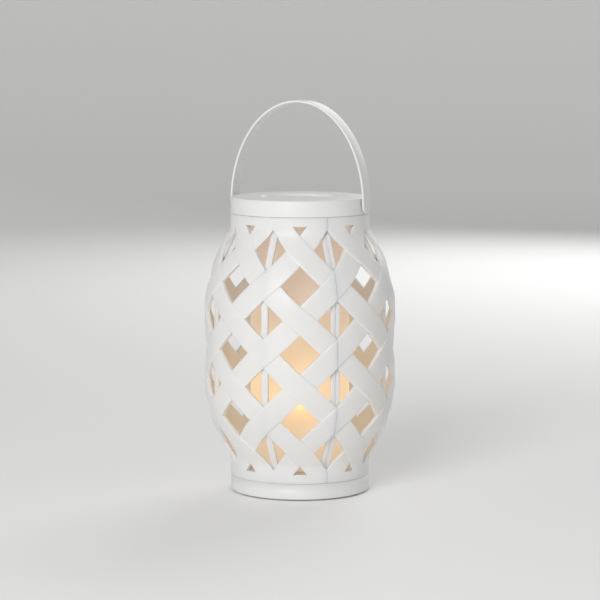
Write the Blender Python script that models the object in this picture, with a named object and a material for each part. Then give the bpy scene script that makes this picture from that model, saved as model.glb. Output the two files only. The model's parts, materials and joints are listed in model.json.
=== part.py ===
"""Battery LED lantern with a basket-weave shell.

Metres, +Z up. The origin is at the middle of the underside, on the surface that the foot pads
stand on. The front is -Y. Angles round the body are measured from the front towards +X.
"""
import math

import bmesh
import bpy
from mathutils import Matrix, Vector

MM = 0.001

# ---- driving dimensions -------------------------------------------------------------------
CLEARANCE = 0.3 * MM            # between pieces that touch or slide on each other
CUT_PAST = 1.0 * MM             # how far a cutter runs past the face that it opens
CUTTER_TURN = math.radians(7)   # keeps the edges of a round cutter off those of what it cuts
SMOOTH_ANGLE = math.radians(35)  # edges sharper than this stay sharp

# Body outline
BELLY_RADIUS = 70.1 * MM
NECK_RADIUS = 51.0 * MM
BELLY_FLAT = 30.0 * MM          # half the height of the straight stretch of the belly
SHOULDER_RUN = 55.0 * MM        # height in which the shoulder comes in from belly to neck
SHOULDER_ARC = 0.69             # share of the shoulder run that is curved, the rest is straight
NECK_BLEND = 1.6 * MM           # how far from the neck's radius its fillet starts
NECK_STRAIGHT = 11.45 * MM      # straight neck between the shoulder and the seam
PAD_DROP = 0.8 * MM             # how far the foot pads stand out of the base
BASE_HEIGHT = 11.7 * MM         # base ring below the lower seam
LID_HEIGHT = 11.8 * MM          # lid ring above the upper seam

# Weave
COLUMNS = 16               # lattice columns round the body
HOLE_ANGLE = math.radians(12.3)  # half width of a diamond opening
HOLE_SHARE = 0.577              # half height of an opening, as a share of the row pitch
ROWS = 8                        # row pitches between the two rows of cut-off diamonds
CUT_SHARE = 0.314               # share of a pitch from a cut-off row's middle to its flat edge
COLLAR = 6.7 * MM               # solid band between each seam and the nearest openings
WALL = 2.4 * MM
PARTING_COLUMN = 1              # the shell halves meet on the ribs of this column and the opposite one
RIB_WIDTH = 5.3 * MM
PARTING_RIB_WIDTH = 6.9 * MM
RIB_SINK = 3.5 * MM             # from the face of the bands in to the face of the ribs
RIB_DEPTH = 1.8 * MM
RIB_RAMP = 1.0 * MM             # height in which a rib changes its depth
RIB_PARTING = 0.21 * MM         # from the parting plane to the rib on each side of it

# Lid
LID_TAPER = 0.6 * MM
LID_ROUND = 1.0 * MM
LID_PLATE = 2.0 * MM
RECESS_RADIUS = 28.5 * MM
RECESS_DEPTH = 1.4 * MM
RECESS_LEAN = 0.47 * MM         # how far the recess's wall leans out
SPIGOT_WALL = 1.8 * MM
SPIGOT_LENGTH = 5.0 * MM

# Handle
HANDLE_ANGLE = math.radians(67.5)   # where the nearer pivot stands
HANDLE_WIDTH = 14.0 * MM
HANDLE_THICKNESS = 1.5 * MM
HANDLE_GAP = 0.25 * MM              # between the strap's ends and the widest part of the lid ring
HANDLE_RISE = 74.6 * MM             # from the pivots to the top of the arch
PIVOT_HEIGHT = 7.4 * MM             # pivots above the upper seam
PEG_RADIUS = 2.2 * MM
PEG_PAST = 1.5 * MM                 # how much longer a peg is than the shell wall is thick
PEG_HOLE_REACH = 6.0 * MM           # how far the peg's hole runs each way through the lid ring
STRAP_TIP = 0.3 * MM                # half width of the flat at the very end of the strap
STRAP_END_STEPS = 6
STRAP_ARCH_STEPS = 40

# Diffuser pillar and light
PILLAR_RADIUS = 36.3 * MM
PILLAR_WALL = 1.2 * MM
PILLAR_SEAT = 8.0 * MM              # how far the pillar stands in the lid's socket
POST_RADIUS = 7.0 * MM
FLANGE_RADIUS = 11.9 * MM
FLANGE_HEIGHT = 2.0 * MM
FLAME_HEIGHT = 75.0 * MM            # middle of the flame lens above the floor
FLAME_LENGTH = 26.0 * MM
FLAME_RADIUS = 6.5 * MM
FLAME_FULLNESS = 0.7                # below 1, the flame is fullest under its middle
LED_BOARD_RADIUS = 10.0 * MM
LED_BOARD_THICKNESS = 1.6 * MM
CHIP_SIDE = 3.0 * MM
CHIP_HEIGHT = 1.2 * MM

# Base and battery bay
BASE_ROUND = 1.3 * MM
TRAY_FLOOR = 2.4 * MM
DECK_THICKNESS = 1.4 * MM
CELL_RADIUS = 7.25 * MM
CELL_LENGTH = 49.0 * MM
CELL_NOSE = 1.5 * MM
CELL_NOSE_RADIUS = 2.75 * MM
CELL_ROUND = 0.6 * MM
CELL_COUNT = 3
CELL_GAP = 0.8 * MM
SPRING_LENGTH = 4.5 * MM
SPRING_RADIUS = 3.2 * MM
SPRING_WIRE = 0.7 * MM
SPRING_TURNS = 3
PLATE_THICKNESS = 0.6 * MM
PLATE_SIDE = 9.0 * MM
HOLDER_WALL = 1.6 * MM
DOOR_THICKNESS = 1.6 * MM
DOOR_INSET = 0.1 * MM               # the door's face lies this much inside the tray's face
TAB_WIDTH = 11.0 * MM
DOOR_SCREW_REACH = 4.0 * MM         # how far the captive screw goes into its boss
DOOR_SCREW_PLAY = 0.9 * MM          # room round it, so that it swings out with the door
SWITCH_SIDE = 9.0 * MM
SWITCH_LENGTH = 18.0 * MM
SWITCH_HEIGHT = 6.0 * MM
SWITCH_GAP = 1.2 * MM               # between the switch and the battery holder
KNOB_WIDTH = 4.0 * MM
KNOB_LENGTH = 5.0 * MM
KNOB_TRAVEL = 6.0 * MM              # off - on - timer, with on in the middle
GROOVE_PITCH = 1.4 * MM
GROOVE_HALF = 0.3 * MM
GROOVE_DEPTH = 0.3 * MM
BOARD_THICKNESS = 1.2 * MM
BOARD_DEPTH = 12.0 * MM
TIMER_CHIP = (5.0 * MM, 4.0 * MM, 1.6 * MM)
TIMER_CHIP_INSET = (2.0 * MM, 3.0 * MM)  # from the board's left and inner edges
PAD_RADIUS = 5.0 * MM
PAD_SINK = 0.6 * MM
PAD_ROUND = 0.4 * MM
SCREW_RADIUS = 1.3 * MM
SCREW_HEAD = 2.6 * MM
SCREW_HEAD_HEIGHT = 1.6 * MM
SCREW_CHAMFER = 0.4 * MM
SCREW_POINT = 1.0 * MM
DRIVE_HALF = 0.3 * MM               # half width of the drive slot
DRIVE_DEPTH = 0.6 * MM
SCREW_LEAN = math.radians(28)       # of the tray's screws from the front and the back
BOSS_RADIUS = 3.6 * MM
BOSS_SINK = 0.2 * MM                # how far a boss starts inside the floor
LEAD_RADIUS = 0.7 * MM
LEAD_BEND = 3.0 * MM
LEAD_OUT = 6.0 * MM                 # from the holder to where a lead comes up

# ---- places worked out from them ----------------------------------------------------------
BELLY_Z = PAD_DROP + BASE_HEIGHT + NECK_STRAIGHT + SHOULDER_RUN + BELLY_FLAT
LOWER_SEAM = PAD_DROP + BASE_HEIGHT
UPPER_SEAM = 2 * BELLY_Z - LOWER_SEAM
LID_TOP = UPPER_SEAM + LID_HEIGHT
PITCH_ANGLE = 2 * math.pi / COLUMNS
LATTICE_LOW = LOWER_SEAM + COLLAR
LATTICE_HIGH = UPPER_SEAM - COLLAR
ROW_PITCH = (LATTICE_HIGH - LATTICE_LOW) / (ROWS - 2 * CUT_SHARE)
HOLE_HEIGHT = HOLE_SHARE * ROW_PITCH
PARTING_ANGLE = PARTING_COLUMN * PITCH_ANGLE
SHELL_BORE = NECK_RADIUS - WALL
PIVOT_Z = UPPER_SEAM + PIVOT_HEIGHT
SPIGOT_RADIUS = SHELL_BORE - CLEARANCE
SPIGOT_END = UPPER_SEAM + CLEARANCE / 2 - SPIGOT_LENGTH
BAY_WIDTH = CELL_COUNT * 2 * CELL_RADIUS + (CELL_COUNT - 1) * CELL_GAP
BAY_LENGTH = CELL_LENGTH + CELL_NOSE + SPRING_LENGTH + 2 * PLATE_THICKNESS + 3 * CLEARANCE
BAY_FLOOR = PAD_DROP + TRAY_FLOOR + CLEARANCE
CELL_Z = PAD_DROP + DOOR_INSET + DOOR_THICKNESS + CLEARANCE + CELL_RADIUS
DECK_LOW = CELL_Z + CELL_RADIUS + CLEARANCE
DECK_TOP = DECK_LOW + DECK_THICKNESS
DECK_RADIUS = SHELL_BORE - CLEARANCE
TAB_LENGTH = HOLDER_WALL + CLEARANCE + 2 * BOSS_RADIUS
DOOR_X = BAY_LENGTH / 2
DOOR_Y = BAY_WIDTH / 2
RING_RADIUS = (DECK_RADIUS + math.hypot(DOOR_X, DOOR_Y)) / 2
FLAME_Z = PAD_DROP + FLAME_HEIGHT
FLAME_FOOT = FLAME_Z - FLAME_LENGTH / 2
LED_BOARD_Z = FLAME_FOOT - CHIP_HEIGHT - 2 * CLEARANCE - LED_BOARD_THICKNESS
POST_TOP = LED_BOARD_Z - CLEARANCE


def polar(angle, radius, z):
    """A point at an angle from the front, at a radius and a height."""
    return Vector((radius * math.sin(angle), -radius * math.cos(angle), z))


def body_radius(z):
    """Outer radius of the woven body: a straight belly, a shoulder that is a parabola and then a
    straight slope, and a smooth blend into the straight neck."""
    drop = BELLY_RADIUS - NECK_RADIUS
    run = (abs(z - BELLY_Z) - BELLY_FLAT) / SHOULDER_RUN
    slope = drop / (1 - SHOULDER_ARC / 2)
    if run <= 0:
        excess = drop
    elif run < SHOULDER_ARC:
        excess = drop - slope * run * run / (2 * SHOULDER_ARC)
    else:
        excess = drop - slope * (run - SHOULDER_ARC / 2)
    if excess <= -NECK_BLEND:
        return NECK_RADIUS
    if excess < NECK_BLEND:
        excess = (excess + NECK_BLEND) ** 2 / (4 * NECK_BLEND)
    return NECK_RADIUS + excess


# ---- materials and objects ----------------------------------------------------------------
def srgb(text):
    """Linear colour from a six-digit sRGB hex value."""
    values = [int(text[i:i + 2], 16) / 255 for i in (0, 2, 4)]
    linear = [v / 12.92 if v <= 0.04045 else ((v + 0.055) / 1.055) ** 2.4 for v in values]
    return (*linear, 1.0)


def material(name, colour, roughness=0.5, metallic=0.0):
    """A Principled material of one colour."""
    made = bpy.data.materials.new(name)
    made.use_nodes = True
    shader = made.node_tree.nodes["Principled BSDF"]
    shader.inputs["Base Color"].default_value = srgb(colour)
    shader.inputs["Roughness"].default_value = roughness
    shader.inputs["Metallic"].default_value = metallic
    return made


def make_object(name, mesh_builder, colour, roughness=0.5, metallic=0.0, place=(0, 0, 0), parent=None):
    """One named object from a bmesh, with its own material."""
    mesh = bpy.data.meshes.new(name)
    bmesh.ops.recalc_face_normals(mesh_builder, faces=mesh_builder.faces)
    mesh_builder.to_mesh(mesh)
    mesh_builder.free()
    mesh.shade_smooth()
    mesh.set_sharp_from_angle(angle=SMOOTH_ANGLE)
    made = bpy.data.objects.new(name, mesh)
    bpy.context.scene.collection.objects.link(made)
    mesh.materials.append(material(name, colour, roughness, metallic))
    made.location = place
    if parent is not None:
        made.parent = parent
        made.location = Vector(place) - parent.location
    return made


def empty(name, place):
    """An empty on a joint's axis."""
    made = bpy.data.objects.new(name, None)
    made.location = place
    bpy.context.scene.collection.objects.link(made)
    return made


def boolean(target, tool_mesh, operation, name):
    """Boolean a wire-shown tool, modelled in the target's own space, into the target."""
    mesh = bpy.data.meshes.new(name)
    bmesh.ops.recalc_face_normals(tool_mesh, faces=tool_mesh.faces)
    tool_mesh.to_mesh(mesh)
    tool_mesh.free()
    tool = bpy.data.objects.new(name, mesh)
    bpy.context.scene.collection.objects.link(tool)
    tool.hide_render = True
    tool.display_type = "WIRE"
    tool.parent = target.parent
    tool.location = target.location
    step = target.modifiers.new(name, "BOOLEAN")
    step.operation = operation
    step.solver = "EXACT"
    step.object = tool
    return tool


def turned(profile, segments):
    """A body turned round Z from a closed profile of (radius, z); a radius of 0 is a pole."""
    built = bmesh.new()
    rings = []
    for radius, z in profile:
        if radius <= 0:
            pole = built.verts.new((0, 0, z))
            rings.append([pole] * segments)
        else:
            rings.append([built.verts.new(polar(2 * math.pi * k / segments, radius, z))
                          for k in range(segments)])
    for first, second in zip(rings, rings[1:] + rings[:1]):
        for k in range(segments):
            after = (k + 1) % segments
            corners = [first[k], first[after], second[after], second[k]]
            corners = [v for i, v in enumerate(corners) if v not in corners[:i]]
            if len(corners) > 2:
                built.faces.new(corners)
    return built


def cylinder(radius, low, high, segments=16, centre=(0, 0)):
    """An upright cylinder, turned a little so that its edges miss those of what it cuts."""
    built = turned([(0, low), (radius, low), (radius, high), (0, high)], segments)
    turn = Matrix.Rotation(CUTTER_TURN, 4, "Z")
    bmesh.ops.transform(built, matrix=Matrix.Translation((*centre, 0)) @ turn, verts=built.verts)
    return built


def screw_room(place, low, shoulder, high, bore):
    """The room for a screw and its head: wide up to the shoulder, and narrow above it."""
    wide = SCREW_HEAD + CLEARANCE
    built = turned([(0, low), (wide, low), (wide, shoulder), (bore, shoulder), (bore, high), (0, high)], 12)
    turn = Matrix.Rotation(CUTTER_TURN, 4, "Z")
    bmesh.ops.transform(built, matrix=Matrix.Translation((*place.xy, 0)) @ turn, verts=built.verts)
    return built


def joined(pieces):
    """Several separate bodies in one bmesh, to be used as one tool."""
    built = bmesh.new()
    for piece in pieces:
        mesh = bpy.data.meshes.new("piece")
        piece.to_mesh(mesh)
        piece.free()
        built.from_mesh(mesh)
        bpy.data.meshes.remove(mesh)
    return built


def block(low, high):
    """A box from its lowest to its highest corner."""
    built = bmesh.new()
    bmesh.ops.create_cube(built, size=1)
    size = Vector(high) - Vector(low)
    bmesh.ops.scale(built, verts=built.verts, vec=size)
    bmesh.ops.translate(built, verts=built.verts, vec=(Vector(low) + Vector(high)) / 2)
    return built


def lying(built, axis, centre):
    """Turn a body that stands on Z so that it lies along an axis, at a centre."""
    turn = Vector((0, 0, 1)).rotation_difference(Vector(axis)).to_matrix().to_4x4()
    bmesh.ops.transform(built, matrix=Matrix.Translation(centre) @ turn, verts=built.verts)
    return built


def round_profile(radius, low, high, fillet, steps=3):
    """A closed cylinder profile with both rims rounded."""
    arc = [(fillet * math.sin(a), fillet * (1 - math.cos(a)))
           for a in (math.pi / 2 * k / steps for k in range(steps + 1))]
    lower = [(radius - fillet + out, low + up) for out, up in arc]
    upper = [(r, low + high - z) for r, z in reversed(lower)]
    return [(0, low)] + lower + upper + [(0, high)]


def sweep(path, radius, sides=6):
    """A round tube with closed ends along a list of points."""
    built = bmesh.new()
    rings = []
    side = Vector((0.3, 0.9, 0.2))
    for index, point in enumerate(path):
        before = path[max(index - 1, 0)]
        after = path[min(index + 1, len(path) - 1)]
        along = (Vector(after) - Vector(before)).normalized()
        side = (side - along * side.dot(along)).normalized()
        other = along.cross(side)
        rings.append([built.verts.new(Vector(point) + radius * (side * math.cos(a) + other * math.sin(a)))
                      for a in (2 * math.pi * k / sides for k in range(sides))])
    for first, second in zip(rings, rings[1:]):
        for k in range(sides):
            after = (k + 1) % sides
            built.faces.new((first[k], first[after], second[after], second[k]))
    built.faces.new(rings[0])
    built.faces.new(rings[-1])
    return built


# ---- woven shell --------------------------------------------------------------------------
def unrolled_cell(sheet, column, row, sides, steps=2):
    """One lattice cell, angle along X and height along Y: four flat frame strips round a diamond.
    Faces of the opening get material index 1."""
    centre_x = column * PITCH_ANGLE
    centre_y = BELLY_Z + row * ROW_PITCH
    for side in sides:
        for up in (-1, 1):
            outer = []
            inner = []
            for k in range(steps + 1):
                share = k / steps
                outer.append(sheet.verts.new((centre_x + side * PITCH_ANGLE * (1 - share),
                                              centre_y + up * ROW_PITCH * share, 0)))
                inner.append(sheet.verts.new((centre_x + side * HOLE_ANGLE * (1 - share),
                                              centre_y + up * HOLE_HEIGHT * share, 0)))
            for k in range(steps):
                sheet.faces.new((outer[k], outer[k + 1], inner[k + 1], inner[k]))
            middle = sheet.verts.new((centre_x, centre_y, 0))
            sheet.faces.new([middle] + inner).material_index = 1


def unrolled_half():
    """The weave of one half shell laid flat, trimmed at the seams, with its openings taken out."""
    sheet = bmesh.new()
    half = COLUMNS // 2
    for column in range(PARTING_COLUMN, PARTING_COLUMN + half + 1):
        sides = [side for side in (-1, 1)
                 if PARTING_COLUMN <= column + side <= PARTING_COLUMN + half]
        reach = ROWS // 2 + 1
        for row in range(-reach, reach + 1):
            if (column + row) % 2 == 0:
                unrolled_cell(sheet, column, row, sides)
    bmesh.ops.remove_doubles(sheet, verts=sheet.verts, dist=1e-5)

    def cut(point, normal, faces, clear=False):
        parts = set(faces)
        for face in faces:
            parts.update(face.edges)
            parts.update(face.verts)
        bmesh.ops.bisect_plane(sheet, geom=list(parts), dist=1e-6, plane_co=point, plane_no=normal,
                               clear_outer=clear)

    cut((0, UPPER_SEAM - CLEARANCE / 2, 0), (0, 1, 0), sheet.faces, clear=True)
    cut((0, LOWER_SEAM + CLEARANCE / 2, 0), (0, -1, 0), sheet.faces, clear=True)
    cut((0, LATTICE_HIGH, 0), (0, 1, 0), sheet.faces)
    cut((0, LATTICE_LOW, 0), (0, -1, 0), sheet.faces)
    for k in range(3 * PARTING_COLUMN + 1, 3 * (PARTING_COLUMN + half)):
        collar = [f for f in sheet.faces
                  if not LATTICE_LOW < f.calc_center_median().y < LATTICE_HIGH]
        cut((k * PITCH_ANGLE / 3, 0, 0), (1, 0, 0), collar)
    openings = [f for f in sheet.faces if f.material_index
                and LATTICE_LOW < f.calc_center_median().y < LATTICE_HIGH]
    bmesh.ops.delete(sheet, geom=openings, context="FACES")
    for face in sheet.faces:
        face.material_index = 0
    return sheet


def wrapped(angle, depth, z):
    """A point of a half shell; points on the parting plane step back by half the clearance."""
    point = polar(angle, body_radius(z) - depth, z)
    turn = angle - PARTING_ANGLE
    across = polar(PARTING_ANGLE + math.pi / 2, 1, 0)
    if abs(turn) < 1e-5 or abs(turn - math.pi) < 1e-5:
        point += across * CLEARANCE / 2
    return point


def woven_half():
    """Roll the flat weave round the body and give it its wall."""
    sheet = unrolled_half()
    built = bmesh.new()
    outer = {v: built.verts.new(wrapped(v.co.x, 0, v.co.y)) for v in sheet.verts}
    inner = {v: built.verts.new(wrapped(v.co.x, WALL, v.co.y)) for v in sheet.verts}
    for face in sheet.faces:
        built.faces.new([outer[v] for v in face.verts])
        built.faces.new([inner[v] for v in reversed(face.verts)])
    for edge in sheet.edges:
        if edge.is_boundary:
            a, b = edge.verts
            built.faces.new((outer[a], outer[b], inner[b], inner[a]))
    sheet.free()
    return built


def rib(built, angle, side_from, side_to):
    """A vertical rib on the inside. It rises to the bands where they cross and lies deeper where
    an opening shows it. side_from and side_to are its edges, measured round the body."""
    pad = ROW_PITCH - HOLE_HEIGHT
    stations = []
    for row in range(-(ROWS // 2), ROWS // 2 + 1, 2):
        centre = BELLY_Z + row * ROW_PITCH
        stations += [(centre - pad - RIB_RAMP, RIB_SINK), (centre - pad, WALL / 2),
                     (centre, WALL / 2), (centre + pad, WALL / 2), (centre + pad + RIB_RAMP, RIB_SINK)]
        if row < ROWS // 2:
            stations += [(centre + ROW_PITCH, RIB_SINK)]
    low = DECK_TOP + CLEARANCE
    high = SPIGOT_END - CLEARANCE
    stations = [(low, WALL / 2)] + [s for s in stations if low < s[0] < high] + [(high, WALL / 2)]
    loops = []
    for z, depth in stations:
        corners = []
        for side, sink in ((side_from, depth), (side_to, depth),
                           (side_to, RIB_SINK + RIB_DEPTH), (side_from, RIB_SINK + RIB_DEPTH)):
            across = polar(angle + math.pi / 2, 1, 0) * side
            corners.append(built.verts.new(polar(angle, body_radius(z) - sink, z) + across))
        loops.append(corners)
    for first, second in zip(loops, loops[1:]):
        for k in range(4):
            after = (k + 1) % 4
            built.faces.new((first[k], first[after], second[after], second[k]))
    built.faces.new(loops[0])
    built.faces.new(loops[-1])


def shell_halves():
    """The two woven halves, which meet on the parting plane."""
    half = COLUMNS // 2
    for name, turn in (("shell_half_right", 0), ("shell_half_left", math.pi)):
        spin = Matrix.Rotation(turn, 4, "Z")
        lattice = woven_half()
        bmesh.ops.transform(lattice, matrix=spin, verts=lattice.verts)
        shell = make_object(name, lattice, "EFEFED", 0.42)
        ribs = bmesh.new()
        for column in range(PARTING_COLUMN, PARTING_COLUMN + half + 1, 2):
            left, right = -RIB_WIDTH / 2, RIB_WIDTH / 2
            if column == PARTING_COLUMN:
                left, right = RIB_PARTING, PARTING_RIB_WIDTH / 2
            elif column == PARTING_COLUMN + half:
                left, right = -PARTING_RIB_WIDTH / 2, -RIB_PARTING
            rib(ribs, column * PITCH_ANGLE, left, right)
        bmesh.ops.transform(ribs, matrix=spin, verts=ribs.verts)
        boolean(shell, ribs, "UNION", name + "_ribs")


# ---- lid and handle -----------------------------------------------------------------------
def lid():
    """Closed lid: outer ring, plate with a round recess, spigot into the neck and pillar socket."""
    bottom = UPPER_SEAM + CLEARANCE / 2
    underside = LID_TOP - RECESS_DEPTH - LID_PLATE
    ring_bore = SPIGOT_RADIUS - SPIGOT_WALL
    top_radius = NECK_RADIUS - LID_TAPER
    socket_in = PILLAR_RADIUS + CLEARANCE
    socket_out = socket_in + SPIGOT_WALL
    arc = [(top_radius - LID_ROUND * (1 - math.cos(a)), LID_TOP - LID_ROUND * (1 - math.sin(a)))
           for a in (math.pi / 6 * k for k in range(4))]
    profile = [(0, underside), (0, LID_TOP - RECESS_DEPTH),
               (RECESS_RADIUS - RECESS_LEAN, LID_TOP - RECESS_DEPTH), (RECESS_RADIUS, LID_TOP)]
    profile += arc[::-1]
    profile += [(NECK_RADIUS, bottom), (SPIGOT_RADIUS, bottom),
                (SPIGOT_RADIUS, SPIGOT_END), (ring_bore, SPIGOT_END),
                (ring_bore, underside), (socket_out, underside),
                (socket_out, underside - PILLAR_SEAT), (socket_in, underside - PILLAR_SEAT),
                (socket_in, underside)]
    made = make_object("top_lid", turned(profile, 48), "EDEDEB", 0.42)
    for side in (0, math.pi):
        hole = cylinder(PEG_RADIUS + CLEARANCE, -PEG_HOLE_REACH, PEG_HOLE_REACH, 20)
        angle = HANDLE_ANGLE + side
        lying(hole, polar(angle, 1, 0), polar(angle, NECK_RADIUS, PIVOT_Z))
        boolean(made, hole, "DIFFERENCE", "lid_pivot_hole_" + ("near" if side == 0 else "far"))
    return made


def handle():
    """Flat strap bent to half an ellipse with round ends, and a snap peg inside each end."""
    axis = empty("handle_pivot", (0, 0, PIVOT_Z))
    inner_half = NECK_RADIUS + HANDLE_GAP
    path = []
    end = HANDLE_WIDTH / 2
    for k in range(STRAP_END_STEPS + 1):
        turn = math.pi / 2 * k / STRAP_END_STEPS
        path.append((1.0, 0.0, -end * math.cos(turn), max(end * math.sin(turn), STRAP_TIP)))
    for k in range(1, STRAP_ARCH_STEPS):
        turn = math.pi * k / STRAP_ARCH_STEPS
        path.append((math.cos(turn), math.sin(turn), 0, end))
    path += [(-c, s, dz, width) for c, s, dz, width in path[STRAP_END_STEPS::-1]]
    built = bmesh.new()
    rings = []
    for cosine, sine, drop, half_width in path:
        corners = []
        for face, side in ((1, -1), (1, 1), (0, 1), (0, -1)):
            x = (inner_half + face * HANDLE_THICKNESS) * cosine
            z = (HANDLE_RISE - (1 - face) * HANDLE_THICKNESS) * sine + drop
            corners.append(built.verts.new((x, side * half_width, z)))
        rings.append(corners)
    for first, second in zip(rings, rings[1:]):
        for k in range(4):
            after = (k + 1) % 4
            built.faces.new((first[k], first[after], second[after], second[k]))
    built.faces.new(rings[0])
    built.faces.new(rings[-1])
    turn = Matrix.Rotation(HANDLE_ANGLE - math.pi / 2, 4, "Z")
    bmesh.ops.transform(built, matrix=turn, verts=built.verts)
    strap = make_object("handle", built, "EBEBE9", 0.4, place=(0, 0, PIVOT_Z), parent=axis)
    for side, name in ((0, "near"), (math.pi, "far")):
        peg = cylinder(PEG_RADIUS, 0, WALL + PEG_PAST, 16)
        angle = HANDLE_ANGLE + side
        start = polar(angle, inner_half + HANDLE_THICKNESS / 2, 0)
        lying(peg, -polar(angle, 1, 0), start)
        boolean(strap, peg, "UNION", "handle_peg_" + name)
    return strap


# ---- base ---------------------------------------------------------------------------------
def battery_box(low, high, wall=0.0):
    """The box of the battery bay between two heights, grown by a wall."""
    return block((-DOOR_X - wall, -DOOR_Y - wall, low), (DOOR_X + wall, DOOR_Y + wall, high))


def ring_places():
    """Middles of the screws and pads: between the bay's corners, on the clear part of the ring."""
    start = math.atan2(DOOR_X, DOOR_Y)
    return [polar(sign * start + turn, RING_RADIUS, 0)
            for sign, turn in ((1, 0), (-1, 0), (1, math.pi), (-1, math.pi))]


def side_places():
    """Middles of the screws: on the two long sides of the bay, clear of the switch."""
    reach = (DECK_RADIUS + DOOR_Y) / 2 - HOLDER_WALL / 2
    return [polar(math.pi + SCREW_LEAN, reach, 0), polar(math.pi - SCREW_LEAN, reach, 0),
            polar(SCREW_LEAN, reach, 0), polar(-SCREW_LEAN, reach, 0)]


def switch_place():
    """Middle of the slide switch, on the front side of the bay."""
    return Vector((0, -(DOOR_Y + HOLDER_WALL + CLEARANCE + SWITCH_SIDE / 2 + SWITCH_GAP), 0))


def base_tray():
    """Base ring and floor in one piece, with the door opening, switch slot, pad seats and bosses."""
    low = PAD_DROP
    floor = PAD_DROP + TRAY_FLOOR
    seam = LOWER_SEAM - CLEARANCE / 2
    bore = DECK_RADIUS - WALL
    arc = [(NECK_RADIUS - BASE_ROUND * (1 - math.sin(a)), low + BASE_ROUND * (1 - math.cos(a)))
           for a in (math.pi / 6 * k for k in range(4))]
    rim = DECK_LOW - CLEARANCE
    profile = [(0, low)] + arc + [(NECK_RADIUS, seam), (DECK_RADIUS, seam), (DECK_RADIUS, rim),
                                  (bore, rim), (bore, floor), (0, floor)]
    made = make_object("base_tray", turned(profile, 48), "F1F2F1", 0.42)
    bosses = [cylinder(BOSS_RADIUS, floor - BOSS_SINK, rim, 12, place.xy)
              for place in side_places() + [tab_screw_place()]]
    boolean(made, joined(bosses), "UNION", "add_bosses")
    recess = low + DOOR_INSET + DOOR_THICKNESS + CLEARANCE
    tab = block((DOOR_X - CUT_PAST, -TAB_WIDTH / 2 - CLEARANCE, low - CUT_PAST),
                (DOOR_X + TAB_LENGTH + CLEARANCE, TAB_WIDTH / 2 + CLEARANCE, recess))
    boolean(made, tab, "DIFFERENCE", "cut_tab")
    x, y, _ = switch_place()
    reach = (KNOB_LENGTH + KNOB_TRAVEL) / 2 + CLEARANCE
    side = KNOB_WIDTH / 2 + CLEARANCE
    cuts = [battery_box(low - CUT_PAST, floor + CUT_PAST, CLEARANCE),
            block((x - reach, y - side, low - CUT_PAST), (x + reach, y + side, floor + CUT_PAST)),
            cylinder(SCREW_RADIUS + DOOR_SCREW_PLAY, recess - CUT_PAST, recess + DOOR_SCREW_REACH, 12,
                     tab_screw_place().xy)]
    cuts += [cylinder(PAD_RADIUS + CLEARANCE, low - CUT_PAST, low + PAD_SINK + CLEARANCE, 20, place.xy)
             for place in ring_places()]
    cuts += [screw_room(place, low - CUT_PAST, low + SCREW_HEAD_HEIGHT + 2 * CLEARANCE, rim + CUT_PAST,
                        SCREW_RADIUS + CLEARANCE) for place in side_places()]
    boolean(made, joined(cuts), "DIFFERENCE", "cut_floor")
    return made


def base_deck():
    """Round deck over the battery bay, inside the shell's lower neck, with holes for the leads."""
    profile = [(0, DECK_LOW), (DECK_RADIUS, DECK_LOW), (DECK_RADIUS, DECK_TOP), (0, DECK_TOP)]
    made = make_object("base_deck", turned(profile, 48), "E4E3DF", 0.5)
    holes = [cylinder(SCREW_RADIUS + CLEARANCE / 2, DECK_LOW - CUT_PAST, DECK_TOP + CUT_PAST, 12, place.xy)
             for place in side_places()]
    holes += [cylinder(LEAD_RADIUS + CLEARANCE, DECK_LOW - CUT_PAST, DECK_TOP + CUT_PAST, 12,
                       lead_foot(side).xy) for side in (-1, 1)]
    boolean(made, joined(holes), "DIFFERENCE", "cut_deck_holes")
    return made


def screw(name, place, low, high):
    """Pan head screw, standing upright with its head down and a straight drive slot in it."""
    head = low + SCREW_HEAD_HEIGHT
    profile = [(0, low), (SCREW_HEAD - SCREW_CHAMFER, low), (SCREW_HEAD, low + SCREW_CHAMFER),
               (SCREW_HEAD, head), (SCREW_RADIUS, head), (SCREW_RADIUS, high - SCREW_POINT),
               (0, high)]
    body = turned(profile, 12)
    bmesh.ops.translate(body, verts=body.verts, vec=(place.x, place.y, 0))
    made = make_object(name, body, "B9BBBD", 0.3, 1.0)
    slot = block((place.x - SCREW_HEAD, place.y - DRIVE_HALF, low - CUT_PAST),
                 (place.x + SCREW_HEAD, place.y + DRIVE_HALF, low + DRIVE_DEPTH))
    boolean(made, slot, "DIFFERENCE", "cut_drive_" + name)
    return made


def foot_pads():
    """Four soft discs let into the tray's floor. They stand out of it by PAD_DROP."""
    for index, place in enumerate(ring_places()):
        body = turned(round_profile(PAD_RADIUS, 0, PAD_DROP + PAD_SINK, PAD_ROUND, 2), 20)
        bmesh.ops.translate(body, verts=body.verts, vec=(place.x, place.y, 0))
        make_object(f"foot_pad_{index + 1}", body, "D8D8D4", 0.8)


# ---- battery bay --------------------------------------------------------------------------
def tab_screw_place():
    """Middle of the door's captive screw."""
    return Vector((DOOR_X + TAB_LENGTH - BOSS_RADIUS, 0, 0))


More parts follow.
